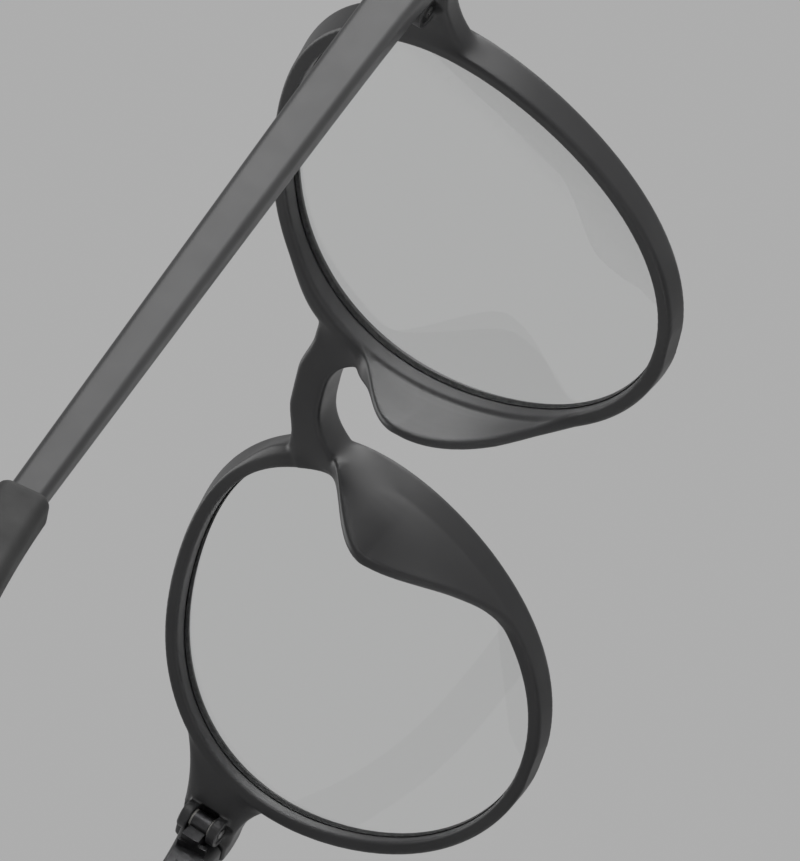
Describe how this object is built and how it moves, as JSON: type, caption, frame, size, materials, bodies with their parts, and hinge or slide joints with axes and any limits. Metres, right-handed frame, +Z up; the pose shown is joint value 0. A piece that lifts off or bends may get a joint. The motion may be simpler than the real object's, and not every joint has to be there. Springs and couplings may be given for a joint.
{
  "type": "reading glasses",
  "caption": "Full-rim reading glasses with round lenses, moulded nose pads, a keyhole bridge and folding temples with soft ear tips.",
  "frame": {"origin": "under the middle of the object's box, on the plane that the two rims and the two soft tips stand on", "axes": "+Z up towards the brow, -Y out of the front of the lenses, +Y back along the open temples, +X towards the wearer's left"},
  "size_m": [0.1368, 0.1404, 0.0484],
  "materials": {
    "front_plastic": "satin moulded dark grey plastic, edges slightly polished",
    "temple_plastic": "satin moulded dark grey plastic",
    "tip_rubber": "matt soft elastomer",
    "lens_clear": "clear polished lens with a faint coating",
    "hinge_metal": "blackened hinge metal",
    "screw_steel": "bright turned steel",
    "washer_nylon": "natural nylon",
    "core_wire": "drawn wire"
  },
  "bodies": {
    "front": {"front_frame": "front_plastic", "lens_left": "lens_clear", "lens_right": "lens_clear", "front_hinge_left": "hinge_metal", "front_hinge_right": "hinge_metal", "hinge_screw_left": "screw_steel", "hinge_screw_right": "screw_steel", "upper_washer_left": "washer_nylon", "upper_washer_right": "washer_nylon", "lower_washer_left": "washer_nylon", "lower_washer_right": "washer_nylon"},
    "left_temple": {"temple_left": "temple_plastic", "temple_hinge_left": "hinge_metal", "leaf_screws_left": "screw_steel", "temple_core_left": "core_wire", "temple_tip_left": "tip_rubber"},
    "right_temple": {"temple_right": "temple_plastic", "temple_hinge_right": "hinge_metal", "leaf_screws_right": "screw_steel", "temple_core_right": "core_wire", "temple_tip_right": "tip_rubber"}
  },
  "joints": [
    {"name": "left_temple_fold", "type": "hinge", "parent": "front", "child": "left_temple", "pos_m": [0.063, -0.0575, 0.03349], "axis": [0, 0, 1], "range_deg": [0, 90]},
    {"name": "right_temple_fold", "type": "hinge", "parent": "front", "child": "right_temple", "pos_m": [-0.063, -0.0575, 0.03349], "axis": [0, 0, -1], "range_deg": [0, 86]}
  ]
}
